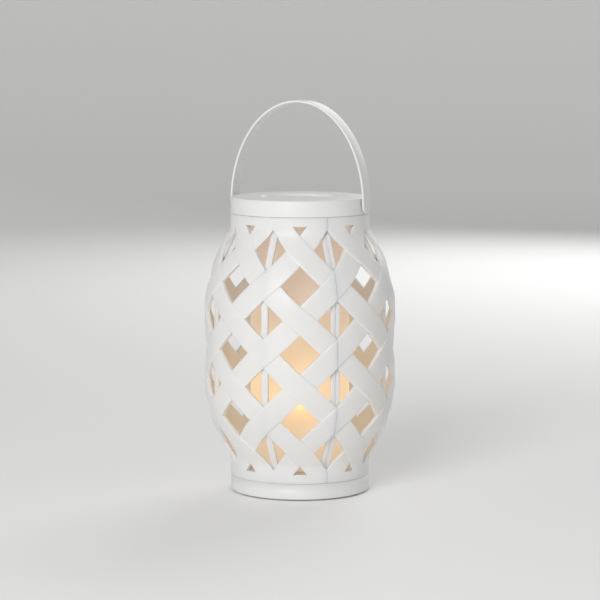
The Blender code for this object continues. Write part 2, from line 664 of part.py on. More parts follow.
def battery_door():
    """Flat door with a screw tab. It tilts down about the edge opposite its tab."""
    low = PAD_DROP + DOOR_INSET
    axis = empty("door_hinge", (-DOOR_X, 0, low))
    body = block((0, -DOOR_Y, 0), (2 * DOOR_X, DOOR_Y, DOOR_THICKNESS))
    made = make_object("battery_door", body, "EFF0EF", 0.45, place=axis.location, parent=axis)
    tab = block((2 * DOOR_X - CUT_PAST, -TAB_WIDTH / 2, 0),
                (2 * DOOR_X + TAB_LENGTH, TAB_WIDTH / 2, DOOR_THICKNESS))
    boolean(made, tab, "UNION", "add_door_tab")
    centre = tab_screw_place() - Vector((axis.location.x, 0, 0))
    room = screw_room(centre, -CUT_PAST, DOOR_THICKNESS - 2 * CLEARANCE, DOOR_THICKNESS + CUT_PAST,
                      SCREW_RADIUS + CLEARANCE)
    boolean(made, room, "DIFFERENCE", "cut_door_screw")
    head_low = low + DOOR_THICKNESS - 3 * CLEARANCE - SCREW_HEAD_HEIGHT
    screw("battery_door_screw", tab_screw_place(), head_low,
          low + DOOR_THICKNESS + DOOR_SCREW_REACH)


def battery_holder():
    """Open frame round the cells, standing on the tray's floor."""
    high = DECK_LOW - CLEARANCE
    made = make_object("battery_holder", battery_box(BAY_FLOOR, high, HOLDER_WALL), "3A3B3D", 0.55)
    boolean(made, battery_box(BAY_FLOOR - CUT_PAST, high + CUT_PAST), "DIFFERENCE", "cut_bay")
    return made


def cells():
    """Three AA cells side by side, each turned the other way from the next, with the spring at
    its flat end and the plate at its nose."""
    inside = DOOR_X - CLEARANCE - PLATE_THICKNESS
    plate_low = CELL_Z - PLATE_SIDE / 2
    for index in range(CELL_COUNT):
        y = (index - (CELL_COUNT - 1) / 2) * (2 * CELL_RADIUS + CELL_GAP)
        way = 1 if index % 2 == 0 else -1
        flat = -inside + SPRING_LENGTH
        nose = round_profile(CELL_RADIUS, flat, flat + CELL_LENGTH, CELL_ROUND, 2)[:-1]
        nose += [(CELL_NOSE_RADIUS, flat + CELL_LENGTH),
                 (CELL_NOSE_RADIUS, flat + CELL_LENGTH + CELL_NOSE),
                 (0, flat + CELL_LENGTH + CELL_NOSE)]
        body = lying(turned(nose, 20), (way, 0, 0), (0, y, CELL_Z))
        make_object(f"battery_{index + 1}", body, "2F6E4F", 0.35, 0.3)
        wire = SPRING_WIRE / 2
        reach = SPRING_LENGTH - 2 * CLEARANCE - SPRING_WIRE
        path = []
        for k in range(8 * SPRING_TURNS + 1):
            share = k / (8 * SPRING_TURNS)
            turn = 2 * math.pi * SPRING_TURNS * share
            x = way * (-inside + CLEARANCE + wire + reach * share)
            path.append((x, y + SPRING_RADIUS * math.cos(turn), CELL_Z + SPRING_RADIUS * math.sin(turn)))
        make_object(f"contact_spring_{index + 1}", sweep(path, wire, 5), "C9CBCD", 0.25, 1.0)
        for end, side in (("minus", -way), ("plus", way)):
            near, far = sorted((side * inside, side * (inside + PLATE_THICKNESS)))
            plate = block((near, y - PLATE_SIDE / 2, plate_low),
                          (far, y + PLATE_SIDE / 2, plate_low + PLATE_SIDE))
            make_object(f"contact_plate_{end}_{index + 1}", plate, "C9CBCD", 0.25, 1.0)


def switch_and_board():
    """Slide switch with its knob in the tray's slot, and the timer board with its chip."""
    floor = BAY_FLOOR
    x, y, _ = switch_place()
    body = block((x - SWITCH_LENGTH / 2, y - SWITCH_SIDE / 2, floor),
                 (x + SWITCH_LENGTH / 2, y + SWITCH_SIDE / 2, floor + SWITCH_HEIGHT))
    make_object("switch_body", body, "2B2C2E", 0.5)
    axis = empty("knob_slide", (x, y, PAD_DROP))
    knob = block((-KNOB_LENGTH / 2, -KNOB_WIDTH / 2, -PAD_DROP / 2),
                 (KNOB_LENGTH / 2, KNOB_WIDTH / 2, TRAY_FLOOR))
    made = make_object("switch_knob", knob, "E9E9E7", 0.45, place=axis.location, parent=axis)
    grooves = [block((index * GROOVE_PITCH - GROOVE_HALF, -KNOB_WIDTH, -PAD_DROP),
                     (index * GROOVE_PITCH + GROOVE_HALF, KNOB_WIDTH, -PAD_DROP / 2 + GROOVE_DEPTH))
               for index in (-1, 0, 1)]
    boolean(made, joined(grooves), "DIFFERENCE", "cut_grip")
    near = DOOR_Y + HOLDER_WALL + CLEARANCE
    half = SWITCH_LENGTH / 2
    board = block((-half, near, floor), (half, near + BOARD_DEPTH, floor + BOARD_THICKNESS))
    make_object("timer_board", board, "2F6B43", 0.45)
    top = floor + BOARD_THICKNESS + CLEARANCE
    corner = Vector((TIMER_CHIP_INSET[0] - half, near + TIMER_CHIP_INSET[1], top))
    make_object("timer_chip", block(corner, corner + Vector(TIMER_CHIP)), "1D1E20", 0.5)


# ---- light --------------------------------------------------------------------------------
def lead_foot(side):
    """Where a lead comes up through the deck: over the switch (-1) or over the board (1)."""
    return Vector((0, side * (DOOR_Y + HOLDER_WALL + CLEARANCE + LEAD_OUT), 0))


def light():
    """Post, board, chip, flame-shaped lens and the two leads up to the board."""
    foot = DECK_TOP + CLEARANCE
    profile = [(0, foot), (FLANGE_RADIUS, foot), (FLANGE_RADIUS, foot + FLANGE_HEIGHT),
               (POST_RADIUS, foot + FLANGE_HEIGHT), (POST_RADIUS, POST_TOP), (0, POST_TOP)]
    make_object("led_post", turned(profile, 24), "E6E4DE", 0.5)
    make_object("led_board", cylinder(LED_BOARD_RADIUS, LED_BOARD_Z, LED_BOARD_Z + LED_BOARD_THICKNESS, 24),
                "F0EFEA", 0.4)
    chip_low = LED_BOARD_Z + LED_BOARD_THICKNESS + CLEARANCE
    half = CHIP_SIDE / 2
    make_object("led_chip", block((-half, -half, chip_low), (half, half, chip_low + CHIP_HEIGHT)),
                "F3D77A", 0.3)
    steps = 10
    flame = [(FLAME_RADIUS * math.sin(math.pi * (k / steps) ** FLAME_FULLNESS),
              FLAME_FOOT + FLAME_LENGTH * k / steps) for k in range(1, steps)]
    make_object("flame_lens", turned([(0, FLAME_FOOT)] + flame + [(0, FLAME_FOOT + FLAME_LENGTH)], 20),
                "FFE9B8", 0.25)
    inner = POST_RADIUS + CLEARANCE + LEAD_RADIUS
    for side, name, colour in ((-1, "black", "1E1E20"), (1, "red", "B3261E")):
        out = abs(lead_foot(side).y)
        start = BAY_FLOOR + (SWITCH_HEIGHT if side < 0 else BOARD_THICKNESS) + CLEARANCE
        level = foot + FLANGE_HEIGHT + CLEARANCE + 2 * LEAD_RADIUS
        bend = LEAD_BEND
        path = [(0, side * out, start), (0, side * out, (start + level) / 2),
                (0, side * out, level - bend)]
        path += [(0, side * (out - bend * (1 - math.cos(a))), level - bend * (1 - math.sin(a)))
                 for a in (math.pi / 6, math.pi / 3, math.pi / 2)]
        path += [(0, side * (inner + bend * (1 - math.sin(a))), level + bend * (1 - math.cos(a)))
                 for a in (0, math.pi / 6, math.pi / 3, math.pi / 2)]
        path.append((0, side * inner, LED_BOARD_Z - CLEARANCE))
        make_object("lead_" + name, sweep(path, LEAD_RADIUS, 6), colour, 0.5)


def diffuser_tube():
    """Frosted pillar from the deck up into the lid's socket."""
    low = DECK_TOP + CLEARANCE
    high = LID_TOP - RECESS_DEPTH - LID_PLATE - CLEARANCE
    bore = PILLAR_RADIUS - PILLAR_WALL
    profile = [(bore, low), (PILLAR_RADIUS, low), (PILLAR_RADIUS, high), (bore, high)]
    make_object("diffuser_tube", turned(profile, 48), "F2E9DC", 0.6)


def main():
    """Build every piece."""
    for old in list(bpy.data.objects):
        bpy.data.objects.remove(old, do_unlink=True)
    shell_halves()
    lid()
    handle()
    base_tray()
    base_deck()
    for index, place in enumerate(side_places()):
        screw(f"tray_screw_{index + 1}", place, PAD_DROP + CLEARANCE, DECK_TOP)
    foot_pads()
    battery_door()
    battery_holder()
    cells()
    switch_and_board()
    light()
    diffuser_tube()


main()
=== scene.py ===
"""Looks of a battery LED lantern: a basket-weave shell, a frosted pillar lit from inside, a closed
lid and a bail handle, on a plain floor in soft light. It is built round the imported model."""
import json
import math
import bpy  # noqa: E402
import bmesh  # noqa: E402
import numpy as np  # noqa: E402
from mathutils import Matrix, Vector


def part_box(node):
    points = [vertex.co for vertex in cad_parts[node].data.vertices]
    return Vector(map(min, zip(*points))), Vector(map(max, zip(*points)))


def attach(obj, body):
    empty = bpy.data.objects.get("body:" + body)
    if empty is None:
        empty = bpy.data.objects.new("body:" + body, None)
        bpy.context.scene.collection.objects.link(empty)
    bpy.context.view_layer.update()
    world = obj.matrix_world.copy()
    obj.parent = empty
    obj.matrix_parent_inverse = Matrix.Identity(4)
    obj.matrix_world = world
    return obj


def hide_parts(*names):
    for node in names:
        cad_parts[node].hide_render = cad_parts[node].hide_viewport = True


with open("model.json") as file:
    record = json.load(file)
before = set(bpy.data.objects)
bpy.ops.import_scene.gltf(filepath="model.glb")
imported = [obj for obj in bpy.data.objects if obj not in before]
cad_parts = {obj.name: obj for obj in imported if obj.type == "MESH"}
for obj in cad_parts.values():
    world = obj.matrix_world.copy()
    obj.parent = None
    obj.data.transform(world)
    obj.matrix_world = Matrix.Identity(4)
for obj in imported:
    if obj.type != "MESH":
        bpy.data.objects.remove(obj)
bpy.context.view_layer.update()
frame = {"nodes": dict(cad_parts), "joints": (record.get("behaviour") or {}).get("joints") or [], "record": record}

bl_info = {
    "name": "Basket lantern",
    "version": (1, 0, 0),
    "blender": (4, 5, 0),
    "location": "View3D > Sidebar > Lantern",
    "description": "Builds the visible pieces of a basket-weave LED lantern round its model",
    "category": "Add Mesh",
}

MM = 0.001

# places that the model gives
LID_LOW, LID_HIGH = (np.array(corner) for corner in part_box("top_lid"))
SHELL_LOW, SHELL_HIGH = (np.array(corner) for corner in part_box("shell_half_right"))
PILLAR_LOW, PILLAR_HIGH = (np.array(corner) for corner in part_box("diffuser_tube"))
STRAP_HIGH = np.array(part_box("handle")[1])
FLAME_LOW, FLAME_HIGH = (np.array(corner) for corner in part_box("flame_lens"))
HINGE = next(j for j in frame["joints"] if j["name"] == "handle_swing")
PIVOT_Z = HINGE["pos_m"][2]
STRAP_ANGLE = math.atan2(HINGE["axis"][0], -HINGE["axis"][1])
STRAP_HALF = 7.0 * MM            # half the width of the strap
STRAP_SPAN = (float(STRAP_HIGH[0]) - STRAP_HALF * math.cos(STRAP_ANGLE)) / math.sin(STRAP_ANGLE)
MIDDLE_Z = float(SHELL_LOW[2] + SHELL_HIGH[2]) / 2

# meshes
SHARP = 32.0                     # degrees past which an edge between faces stays sharp
MERGE = 2e-6                     # points nearer than this are one
NO_AREA = 1e-7                   # an edge shorter than this leaves a face without area
FIT = 0.3 * MM                   # room between the pillar and its socket in the lid


def mm_length(name, text, default):
    """A size in millimetres, shown in the sidebar."""
    return bpy.props.FloatProperty(name=name, description=text, default=default, min=0.0,
                                   unit="LENGTH", subtype="DISTANCE", precision=5)


def linear(text):
    """Linear RGBA from six sRGB hex digits."""
    part = np.array([int(text[i:i + 2], 16) for i in (0, 2, 4)]) / 255
    lin = np.where(part <= 0.04045, part / 12.92, ((part + 0.055) / 1.055) ** 2.4)
    return (*lin.tolist(), 1.0)


def colour(name, text, default):
    """A colour, shown in the sidebar; its default is six sRGB hex digits."""
    return bpy.props.FloatVectorProperty(name=name, description=text, default=linear(default),
                                         size=4, min=0.0, max=1.0, subtype="COLOR")


class LanternSizes(bpy.types.PropertyGroup):
    """Sizes of the weave, the lid, the strap and the view."""
    belly: mm_length("Belly radius", "Radius of the body at its widest", 70.1 * MM)
    neck: mm_length("Neck radius", "Radius of the straight necks and the lid ring", 51.0 * MM)
    belly_flat: mm_length("Straight belly", "Half the height of the straight stretch", 30.0 * MM)
    shoulder: mm_length("Shoulder", "Height in which the shoulder comes in to the neck", 55.0 * MM)
    row_pitch: mm_length("Row pitch", "Height of half a diamond of the lattice", 24.35 * MM)
    collar: mm_length("Collar", "Solid band between a seam and the nearest openings", 6.55 * MM)
    step: mm_length("Weave height", "Half the height by which a band passes over another",
                    0.45 * MM)
    edge: mm_length("Band edge", "How far the rounded edge of a band falls away", 0.28 * MM)
    wall: mm_length("Band thickness", "From the top of a band to its inner face", 3.1 * MM)
    rib_width: mm_length("Rib width", "Width of an upright rib", 5.3 * MM)
    parting_width: mm_length("Parting rib width", "Width of the pair of ribs at the parting",
                             6.9 * MM)
    rib_sink: mm_length("Rib depth", "From the face of the bands in to the face of a rib", 3.5 * MM)
    rib_thick: mm_length("Rib thickness", "Thickness of a rib", 1.8 * MM)
    recess: mm_length("Lid recess radius", "Radius of the shallow recess in the lid", 28.5 * MM)
    recess_depth: mm_length("Lid recess depth", "Depth of that recess", 2.2 * MM)
    strap_width: mm_length("Strap width", "Width of the handle strap", 2 * STRAP_HALF)
    strap_thick: mm_length("Strap thickness", "Thickness of the handle strap", 1.5 * MM)
    eye: mm_length("Eye height", "Height of the camera", 350.8 * MM)
    distance: mm_length("Eye distance", "Distance of the camera in front of the axis", 1839.7 * MM)


class LanternColours(bpy.types.PropertyGroup):
    """Colours of the visible pieces, and the strength of the glow."""
    plastic: colour("White plastic", "Moulded white plastic of the body", "E9E9E8")
    frost: colour("Frosted pillar", "Body colour of the pillar", "C2B7AC")
    glow: colour("Glow", "Light of the pillar away from the flame", "FFEAD8")
    core: colour("Glow core", "Light of the pillar level with the flame", "FFD860")
    flame: colour("Flame", "Light of the flame lens", "FFB232")
    floor: colour("Floor", "Plain floor", "FAFAF9")
    # strengths of the pillar's painted glow, its emission all over and the extra level with the flame
    pillar_glow: bpy.props.FloatProperty(name="Pillar glow", default=0.25, min=0.0,
                                 description="Strength of the pillar's own light")
    core_glow: bpy.props.FloatProperty(name="Core glow", default=0.15, min=0.0,
                                  description="Strength added level with the flame")
    power: bpy.props.FloatProperty(name="Flame power", default=24.0, min=0.0,
                                   description="Strength of the flame's light")


# ---- numbers into shapes ------------------------------------------------------------------
def smooth_step(low, high, value):
    """0 below low, 1 above high, and a smooth S between them."""
    share = np.clip((value - low) / (high - low), 0, 1)
    return share * share * (3 - 2 * share)


def body_radius(z, sizes):
    """Outer radius of the body. A straight belly, a shoulder that is a parabola and then a slope,
    and a quadratic blend into the straight neck."""
    arc = 0.69          # share of the shoulder's height that is the parabola
    blend = 1.6 * MM    # radius on each side of the neck's own in which the blend runs
    drop = sizes.belly - sizes.neck
    slope = drop / (1 - arc / 2)
    run = np.maximum((np.abs(z - MIDDLE_Z) - sizes.belly_flat) / sizes.shoulder, 0)
    curved = drop - slope * run * run / (2 * arc)
    straight = drop - slope * (run - arc / 2)
    excess = np.where(run < arc, curved, straight)
    blended = (np.clip(excess, -blend, blend) + blend) ** 2 / (4 * blend)
    return sizes.neck + np.where(excess > blend, excess, blended)


def store_mesh(name, points, faces, sharp=SHARP):
    """A mesh object from an array of points and an array or list of faces, smooth except where its
    faces meet at more than sharp degrees."""
    mesh = bpy.data.meshes.new(name)
    if isinstance(faces, np.ndarray):
        faces = faces.tolist()
    mesh.from_pydata(np.asarray(points).tolist(), [], faces)
    mesh.validate()
    mesh.shade_smooth()
    mesh.set_sharp_from_angle(angle=math.radians(sharp))
    made = bpy.data.objects.new(name, mesh)
    bpy.context.scene.collection.objects.link(made)
    return made


def grid_faces(rows, columns, wrap_rows=False, wrap_columns=False):
    """Index quads of a grid of rows by columns, closed round either way if asked."""
    r = np.arange(rows if wrap_rows else rows - 1)[:, None]
    c = np.arange(columns if wrap_columns else columns - 1)[None, :]
    after_r = (r + 1) % rows
    after_c = (c + 1) % columns
    quads = np.stack([r * columns + c, r * columns + after_c, after_r * columns + after_c,
                      after_r * columns + c], axis=-1)
    return quads.reshape(-1, 4)


def fillet(before, corner, after, radius, steps=5):
    """Points of a round corner: a quadratic curve between two points that lie radius away from the
    corner along its two sides."""
    before, corner, after = (np.array(p, float) for p in (before, corner, after))
    start = corner + (before - corner) * radius / np.linalg.norm(before - corner)
    end = corner + (after - corner) * radius / np.linalg.norm(after - corner)
    t = np.linspace(0, 1, steps)[:, None]
    return ((1 - t) ** 2 * start + 2 * t * (1 - t) * corner + t ** 2 * end).tolist()


def rounded(outline, radii, steps=5):
    """A closed outline with each corner that has a radius made round."""
    result = []
    count = len(outline)
    for index, (point, radius) in enumerate(zip(outline, radii)):
        if radius > 0:
            result += fillet(outline[index - 1], point, outline[(index + 1) % count], radius, steps)
        else:
            result.append(list(point))
    return np.array(result)


def turned(name, outline, segments=192):
    """Surface of revolution about Z: outline (radius, height) turned through every angle, with one
    point at each pole. The outline runs so that its faces point outwards."""
    outline = np.array(outline)
    angle = np.linspace(0, 2 * math.pi, segments, endpoint=False)
    radius = outline[:, :1]
    points = np.stack([radius * np.sin(angle), -radius * np.cos(angle),
                       np.repeat(outline[:, 1:], segments, axis=1)], axis=-1)
    made = store_mesh(name, points.reshape(-1, 3),
                      grid_faces(len(outline), segments, wrap_rows=True, wrap_columns=True))
    tidy_mesh(made)
    return made


def tidy_mesh(made, sharp=SHARP):
    """Merge doubles such as poles, drop faces that have no area and point the rest outwards."""
    work = bmesh.new()
    work.from_mesh(made.data)
    bmesh.ops.remove_doubles(work, verts=work.verts, dist=MERGE)
    bmesh.ops.dissolve_degenerate(work, edges=work.edges, dist=NO_AREA)
    bmesh.ops.recalc_face_normals(work, faces=work.faces)
    work.to_mesh(made.data)
    work.free()
    made.data.shade_smooth()
    made.data.set_sharp_from_angle(angle=math.radians(sharp))


# ---- woven shell --------------------------------------------------------------------------
COLUMNS = 16                     # lattice columns round the body
PITCH = 2 * math.pi / COLUMNS
HOLE_X = 12.3 / 22.5             # half width of an opening in columns
HOLE_Y = 0.577                   # half height of an opening in rows
REACH = 4                        # rows from the middle to the cut-off openings
PARTING = 1                      # column of the parting line
OFF_TIE = 1.37e-6                # keeps equal places from being rounded two ways
EDGE_SHARE = 0.09                # share of a band's width in which its edge is rounded
BAND = np.array([0, 0.035, EDGE_SHARE, 0.2, 0.35, 0.5, 0.65, 0.8, 0.91, 0.965, 1.0])  # across
RUN = np.array([0, 0.1, 0.25, 0.4, 0.55, 0.7, 0.85, 0.955, 0.98, 1.0])                # along
STEP_FADE = (9.0 * MM, 1.0 * MM)     # from the collar, where the steps between bands run out
EDGE_FADE = (1.5 * MM, 0.2 * MM)     # from the collar, where the rounded edges run out
HALF_GAP = 0.03 * MM             # from the parting line to each half
COLLAR_WALL = 2.3 * MM           # thickness of the shell at its collars
WALL_FADE = (12.0 * MM, 7.0 * MM)    # from the seam, where the wall thins to the collar's
RIB_STEPS = 181                  # points up a rib
RIB_PAST = 1.2 * MM              # how far a rib reaches into a collar
RIB_RAMP = (0.36, 0.46)          # rows from a crossing in which a rib's face goes back
RIB_TOUCH = 0.8                  # depth of a rib behind a crossing, as a share of the band
RIB_SOFT = 0.5 * MM              # chamfer of a rib's face
JUST_IN = 0.999                  # keeps the edge itself out of an opening


def crossing_centres():
    """Column and row of every crossing of the lattice, from a little before one parting line to a
    little past the other. Odd columns carry the band that rises to the right on top."""
    column, row = np.meshgrid(np.arange(PARTING - 1, PARTING + COLUMNS // 2 + 2),
                              np.arange(-REACH, REACH + 1), indexing="ij")
    keep = (column + row) % 2 == 1
    return column[keep].astype(float), row[keep].astype(float)


def edge_fall(across):
    """How far a band's face has fallen at a place across it: 1 at both edges, 0 between them."""
    near = np.minimum(across, 1 - across)
    return np.clip(1 - near / EDGE_SHARE, 0, 1) ** 2


def crossing_patch(column, row, rise):
    """Faces where two bands cross, which belong to the band on top: a bilinear patch between the
    nearest corners of the four openings round it. Its height is the crest of a cosine."""
    along, across = np.meshgrid(BAND, BAND, indexing="ij")
    side, up = 1 - HOLE_X, 1 - HOLE_Y
    dx = (-side * (1 - along) * (1 - across) + side * along * across)
    dy = (up * along * (1 - across) - up * (1 - along) * across)
    x = column[:, None, None] + rise[:, None, None] * dx
    y = row[:, None, None] + dy
    crest = np.broadcast_to(np.cos(math.pi * (dx + dy) / 2) - 1, x.shape)
    fall = np.broadcast_to(edge_fall(across), x.shape)
    return np.stack([x, y, crest, fall], axis=-1)


def stretch_patch(column, row, rise, way):
    """Faces of the band on top from its crossing to the next, where it goes under: a bilinear patch
    between the edges of two openings. The cosine falls to its trough, and the last row climbs to
    the side of the band that covers it, which makes the step between the two."""
    along, across = np.meshgrid(RUN, BAND, indexing="ij")
    side, up = 1 - HOLE_X, 1 - HOLE_Y
    start = np.stack([side * across, up * (1 - across)], axis=-1)
    end = np.stack([1 - side * (1 - across), 1 - up * across], axis=-1)
    place = start * (1 - along[..., None]) + end * along[..., None]
    dx, dy = place[..., 0], place[..., 1]
    crest = np.cos(math.pi * (dx + dy) / 2) - 1
    fall = edge_fall(across)
    other = (-(dx - 1) + (dy - 1)) / 2
    crest[-1] = np.cos(math.pi * other[-1]) - 1
    fall[-1] = 1
    x = column[:, None, None] + way * rise[:, None, None] * dx
    y = row[:, None, None] + way * dy
    return np.stack([x, y, np.broadcast_to(crest, x.shape), np.broadcast_to(fall, x.shape)],
                    axis=-1)


def cover_patch(end):
    """Flat faces that close the cut-off openings at one end, so that the collars are whole. Their
    edges are divided as the bands beside them are: one side from below, the other from above."""
    column = np.arange(PARTING - 1, PARTING + COLUMNS // 2 + 2)
    column = column[(column + REACH) % 2 == 0].astype(float)
    spacing = [1 - RUN[::-1], RUN][::end]
    along, across = np.meshgrid(*spacing, indexing="ij")
    x = column[:, None, None] + HOLE_X * (along - across)
    y = end * REACH + HOLE_Y * (along + across - 1) + np.zeros_like(x)
    zero = np.zeros_like(x)
    return np.stack([x, y, zero, zero], axis=-1)


def weave_sheet(sizes):
    """The weave of one half laid flat: angle, height and depth below the body's outline. The
    patches are joined where their edges meet, then trimmed at the seams and the parting."""
    column, row = crossing_centres()
    rise = np.where(column % 2 == 1, 1.0, -1.0)
    groups = [crossing_patch(column, row, rise), stretch_patch(column, row, rise, 1),
              stretch_patch(column, row, rise, -1), cover_patch(1), cover_patch(-1)]
    points, faces, first = [], [], 0
    for group in groups:
        count, rows, columns, _ = group.shape
        quads = grid_faces(rows, columns)
        shifts = first + np.arange(count)[:, None, None] * rows * columns
        faces.append((quads[None] + shifts).reshape(-1, 4))
        points.append(group.reshape(-1, 4))
        first += count * rows * columns
    points = np.concatenate(points)
    faces = np.concatenate(faces)
    _, where, same = np.unique(np.round(points[:, :2] + OFF_TIE, 5), axis=0, return_index=True,
                               return_inverse=True)
    points = points[where]
    faces = same.reshape(-1)[faces]
    height = MIDDLE_Z + points[:, 1] * sizes.row_pitch
    from_middle = np.abs(height - MIDDLE_Z)
    collar_edge = (SHELL_HIGH[2] - SHELL_LOW[2]) / 2 - sizes.collar
    weave, round_edge = (1 - smooth_step(collar_edge - start, collar_edge - end, from_middle)
                         for start, end in (STEP_FADE, EDGE_FADE))
    depth = -sizes.step * weave * points[:, 2] + sizes.edge * round_edge * points[:, 3]
    flat = np.stack([points[:, 0] * PITCH, height, depth], axis=-1)
    work = bmesh.new()
    made = [work.verts.new(p) for p in flat.tolist()]
    for quad in faces.tolist():
        work.faces.new([made[i] for i in quad])
    bmesh.ops.recalc_face_normals(work, faces=work.faces)

    def trim(place, normal, clear):
        whole = list(work.verts) + list(work.edges) + list(work.faces)
        bmesh.ops.bisect_plane(work, geom=whole, dist=1e-6, plane_co=place, plane_no=normal,
                               clear_outer=clear)

    gap = HALF_GAP / sizes.neck
    trim((PARTING * PITCH + gap, 0, 0), (-1, 0, 0), True)
    trim(((PARTING + COLUMNS // 2) * PITCH - gap, 0, 0), (1, 0, 0), True)
    trim((0, SHELL_HIGH[2], 0), (0, 1, 0), True)
    trim((0, SHELL_LOW[2], 0), (0, -1, 0), True)
    for turn in (-1, 1):
        trim((0, MIDDLE_Z + turn * collar_edge, 0), (0, turn, 0), False)
    opening = [f for f in work.faces if in_opening(f.calc_center_median(), sizes, collar_edge)]
    bmesh.ops.delete(work, geom=opening, context="FACES")
    return work


def in_opening(place, sizes, collar_edge):
    """Whether a flat place lies in a cut-off opening, on the woven side of the collar."""
    height = (place.y - MIDDLE_Z) / sizes.row_pitch
    if abs(place.y - MIDDLE_Z) > collar_edge:
        return False
    row = math.copysign(REACH, height)
    column = round(place.x / PITCH)
    for centre in (column - 1, column, column + 1):
        if (centre + REACH) % 2 == 0:
            if abs(place.x / PITCH - centre) / HOLE_X + abs(height - row) / HOLE_Y < JUST_IN:
                return True
    return False


def rolled(angle, height, radius):
    """Flat angle and height, and a radius, as points round Z."""
    return np.stack([radius * np.sin(angle), -radius * np.cos(angle), height], axis=-1)


def rib_strip(angle, from_side, to_side, sizes):
    """One upright rib as a closed strip. Its face follows the body's outline at a depth that is a
    smooth wave of the height: deep behind the openings, against the bands at their crossings."""
    margin = sizes.collar - RIB_PAST
    height = np.linspace(SHELL_LOW[2] + margin, SHELL_HIGH[2] - margin, RIB_STEPS)
    row = (height - MIDDLE_Z) / sizes.row_pitch
    from_crossing = np.abs(row - 2 * np.round(row / 2))
    near = 1 - smooth_step(*RIB_RAMP, from_crossing)
    deep = sizes.rib_sink - near * (sizes.rib_sink - RIB_TOUCH * sizes.wall)
    outline = body_radius(height, sizes)
    inner = sizes.rib_sink + sizes.rib_thick
    ring = [(from_side, deep + RIB_SOFT), (from_side + RIB_SOFT, deep),
            (to_side - RIB_SOFT, deep), (to_side, deep + RIB_SOFT), (to_side, inner),
            (from_side, inner)]
    out = np.array([math.sin(angle), -math.cos(angle)])
    across = np.array([math.cos(angle), math.sin(angle)])
    points = []
    for side, sink in ring:
        flat = (outline - sink)[:, None] * out + side * across
        points.append(np.concatenate([flat, height[:, None]], axis=1))
    points = np.stack(points, axis=1)
    count = len(ring)
    faces = grid_faces(len(height), count, wrap_columns=True).tolist()
    last = (len(height) - 1) * count
    faces += [list(range(count))[::-1], list(range(last, last + count))]
    return points.reshape(-1, 3), faces


def woven_half(name, turn, sizes):
    """Half of the shell: the flat weave rolled round Z at the body's outline less its depth, the
    same sheet again at the inner face, walls where the sheet ends, and the ribs behind it."""
    work = weave_sheet(sizes)
    mesh = bpy.data.meshes.new("flat")
    work.to_mesh(mesh)
    work.free()
    flat = np.zeros(len(mesh.vertices) * 3)
    mesh.vertices.foreach_get("co", flat)
    flat = flat.reshape(-1, 3)
    faces = [list(p.vertices) for p in mesh.polygons]
    corners = np.array([(a, b) for face in faces for a, b in zip(face, face[1:] + face[:1])])
    bpy.data.meshes.remove(mesh)
    angle, height = flat[:, 0], flat[:, 1]
    outline = body_radius(height, sizes)
    half_height = (SHELL_HIGH[2] - SHELL_LOW[2]) / 2
    at_collar = smooth_step(half_height - WALL_FADE[0], half_height - WALL_FADE[1],
                            np.abs(height - MIDDLE_Z))
    wall = sizes.wall * (1 - at_collar) + COLLAR_WALL * at_collar
    points = np.concatenate([rolled(angle, height, outline - flat[:, 2]),
                             rolled(angle, height, outline - wall)])
    count = len(flat)
    key = np.sort(corners, axis=1)
    _, index, uses = np.unique(key[:, 0] * count + key[:, 1], return_inverse=True,
                               return_counts=True)
    start, end = corners[uses[index] == 1].T
    walls = np.stack([end, start, start + count, end + count], axis=1)
    faces = faces + [[v + count for v in face[::-1]] for face in faces] + walls.tolist()
    half = COLUMNS // 2
    for column in range(PARTING, PARTING + half + 1, 2):
        sides = [-sizes.rib_width / 2, sizes.rib_width / 2]
        if column == PARTING:
            sides = [HALF_GAP, sizes.parting_width / 2]
        elif column == PARTING + half:
            sides = [-sizes.parting_width / 2, -HALF_GAP]
        strip, strip_faces = rib_strip(column * PITCH, *sides, sizes)
        faces += [[v + len(points) for v in face] for face in strip_faces]
        points = np.concatenate([points, strip])
    spin = np.array([[math.cos(turn), -math.sin(turn), 0], [math.sin(turn), math.cos(turn), 0],
                     [0, 0, 1]])
    made = store_mesh(name, points @ spin.T, faces)
    tidy_mesh(made, 28.0)    # the steps between bands are kept a little crisper
    return made


# ---- lid, handle and light ----------------------------------------------------------------
def lid_surface(sizes):
    """Lid turned from one outline: ring with a slight taper and soft rims, flat annulus, round
    recess with a curved wall, and below it the spigot and the socket of the pillar."""
    wall = 1.8 * MM                                 # of the spigot and the socket
    low, high = float(LID_LOW[2]), float(LID_HIGH[2])
    seam = float(SHELL_HIGH[2]) + 0.15 * MM         # leaves a thin line above the shell
    foot = seam - 5 * MM                            # lower end of the spigot
    ring = sizes.neck - 0.02 * MM                   # the ring at the seam
    top = sizes.neck - 0.6 * MM                     # the ring's top, drawn in by its taper
    spigot = sizes.neck - 2.7 * MM                  # goes inside the shell's collar
    bore = spigot - wall
    socket = float(PILLAR_HIGH[0]) + FIT
    plate = float(PILLAR_HIGH[2]) + FIT
    floor = high - sizes.recess_depth
    lean = 1.3 * MM                                 # how far the recess's wall leans
    outline = [(0, plate), (0, floor), (sizes.recess - lean, floor), (sizes.recess, high),
               (top, high), (ring, seam), (spigot, seam), (spigot, foot), (bore, foot),
               (bore, plate), (socket + wall, plate), (socket + wall, low), (socket, low),
               (socket, plate)]
    radii = [0, 0, 0.6 * MM, 0.45 * MM, 1.0 * MM, 0.35 * MM, 0, 0.2 * MM, 0, 0, 0, 0, 0, 0]
    return turned("lid_surface", rounded(outline, radii))


